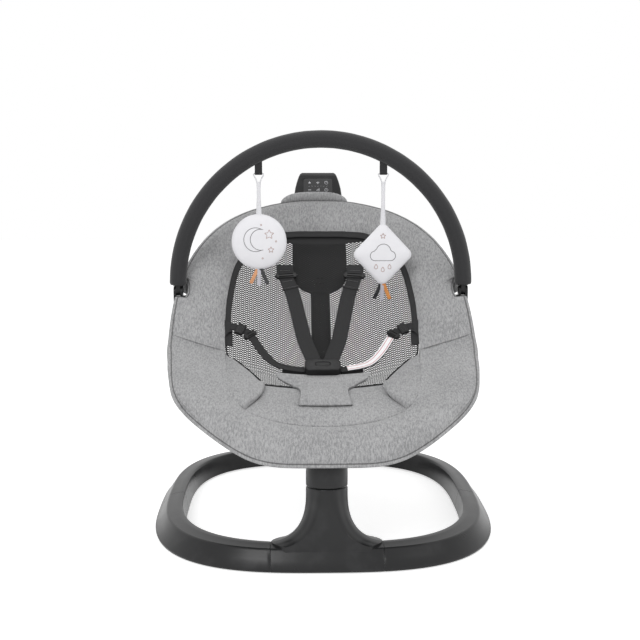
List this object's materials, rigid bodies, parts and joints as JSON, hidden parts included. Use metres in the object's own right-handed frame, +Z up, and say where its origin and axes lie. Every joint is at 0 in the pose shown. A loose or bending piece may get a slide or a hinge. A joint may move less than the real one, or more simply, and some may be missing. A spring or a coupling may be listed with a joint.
{
  "type": "electric baby swing",
  "caption": "Baby swing with an oval floor ring, a front post that swings a padded reclined seat from side to side, a net back, a harness and a toy bar with hanging toys.",
  "frame": {"origin": "on the floor, under the middle of the floor ring", "axes": "+Z up; -Y to the front, where the post and the seat's foot end are; +X to the right in a view from the front"},
  "size_m": [0.58, 0.676, 0.6668],
  "materials": {
    "satin_dark_plastic": "satin, fine texture",
    "gloss_black_panel": "gloss",
    "black_rubber": "matt",
    "painted_tube": "powder coated, semi-gloss",
    "bright_steel": "turned",
    "ferrite_magnet": "sintered, matt",
    "copper_winding": "enamelled wire",
    "green_board": "solder mask",
    "grey_melange_fabric": "melange jersey over padding",
    "black_net": "open net",
    "black_webbing": "woven tape",
    "black_sleeve_fabric": "plain weave",
    "white_toy_fabric": "plush and cotton",
    "white_cord": "twisted cord"
  },
  "bodies": {
    "base": {"base_front_cover": "satin_dark_plastic", "base_arc_left": "satin_dark_plastic", "base_arc_right": "satin_dark_plastic", "base_arc_rear": "satin_dark_plastic", "foot_rear_right": "black_rubber", "foot_rear_left": "black_rubber", "foot_front_left": "black_rubber", "foot_front_right": "black_rubber", "base_bottom_plate": "satin_dark_plastic", "drive_board": "green_board", "power_inlet": "bright_steel", "upper_bearing": "bright_steel", "lower_bearing": "bright_steel", "drive_coil": "copper_winding"},
    "swivel": {"swivel_collar": "satin_dark_plastic", "recline_pin": "bright_steel", "swing_shaft": "bright_steel", "magnet_rotor": "ferrite_magnet"},
    "seat": {"support_arm": "satin_dark_plastic", "back_plate": "satin_dark_plastic", "control_housing": "satin_dark_plastic", "control_panel": "gloss_black_panel", "panel_board": "green_board", "speaker": "bright_steel", "seat_frame_rear": "painted_tube", "seat_frame_front": "painted_tube", "frame_joint_left": "satin_dark_plastic", "frame_joint_right": "satin_dark_plastic", "toy_bar_mount_left": "satin_dark_plastic", "toy_bar_mount_right": "satin_dark_plastic", "cover_back_pad": "grey_melange_fabric", "cover_front_rim": "grey_melange_fabric", "cover_thigh_pad_left": "grey_melange_fabric", "cover_thigh_pad_right": "grey_melange_fabric", "cover_front_cushion": "grey_melange_fabric", "net_panel": "black_net", "net_binding": "black_webbing", "crotch_flap": "grey_melange_fabric", "head_pillow": "grey_melange_fabric", "shoulder_strap_left": "black_webbing", "shoulder_strap_right": "black_webbing", "waist_strap_left": "black_webbing", "waist_strap_right": "black_webbing", "shoulder_adjuster_left": "satin_dark_plastic", "shoulder_adjuster_right": "satin_dark_plastic", "waist_clip_left": "satin_dark_plastic", "waist_clip_right": "satin_dark_plastic", "crotch_strap": "black_webbing", "harness_buckle": "satin_dark_plastic"},
    "release_key": {"buckle_button": "satin_dark_plastic"},
    "toy_bar": {"toy_bar_rod": "satin_dark_plastic", "toy_bar_sleeve": "black_sleeve_fabric", "toy_bar_end_left": "satin_dark_plastic", "toy_bar_end_right": "satin_dark_plastic", "hanger_tab_left": "black_webbing", "hanger_tab_right": "black_webbing"},
    "toy_round": {"toy_round_pad": "white_toy_fabric", "toy_round_cord": "white_cord"},
    "toy_diamond": {"toy_diamond_pad": "white_toy_fabric", "toy_diamond_cord": "white_cord"}
  },
  "joints": [
    {"name": "seat_swing", "type": "hinge", "parent": "base", "child": "swivel", "pos_m": [0, -0.285, 0.1237], "axis": [0, 0.0872, 0.9962], "range_deg": [-12, 12]},
    {"name": "seat_recline", "type": "hinge", "parent": "swivel", "child": "seat", "pos_m": [0, -0.28278, 0.1491], "axis": [-1, 0, 0], "range_deg": [0, 8]},
    {"name": "toy_bar_tilt", "type": "hinge", "parent": "seat", "child": "toy_bar", "pos_m": [0, 0.06, 0.386], "axis": [1, 0, 0], "range_deg": [0, 45]},
    {"name": "round_toy_swing", "type": "hinge", "parent": "toy_bar", "child": "toy_round", "pos_m": [-0.11, 0.06, 0.59308], "axis": [1, 0, 0], "range_deg": [-60, 2]},
    {"name": "diamond_toy_swing", "type": "hinge", "parent": "toy_bar", "child": "toy_diamond", "pos_m": [0.11, 0.06, 0.59308], "axis": [1, 0, 0], "range_deg": [-60, 2]},
    {"name": "release_press", "type": "slide", "parent": "seat", "child": "release_key", "axis": [0, 0.3924, -0.9198], "range_m": [0, 0.0025], "stiffness_N_per_m": 600, "springref_m": -0.001}
  ]
}
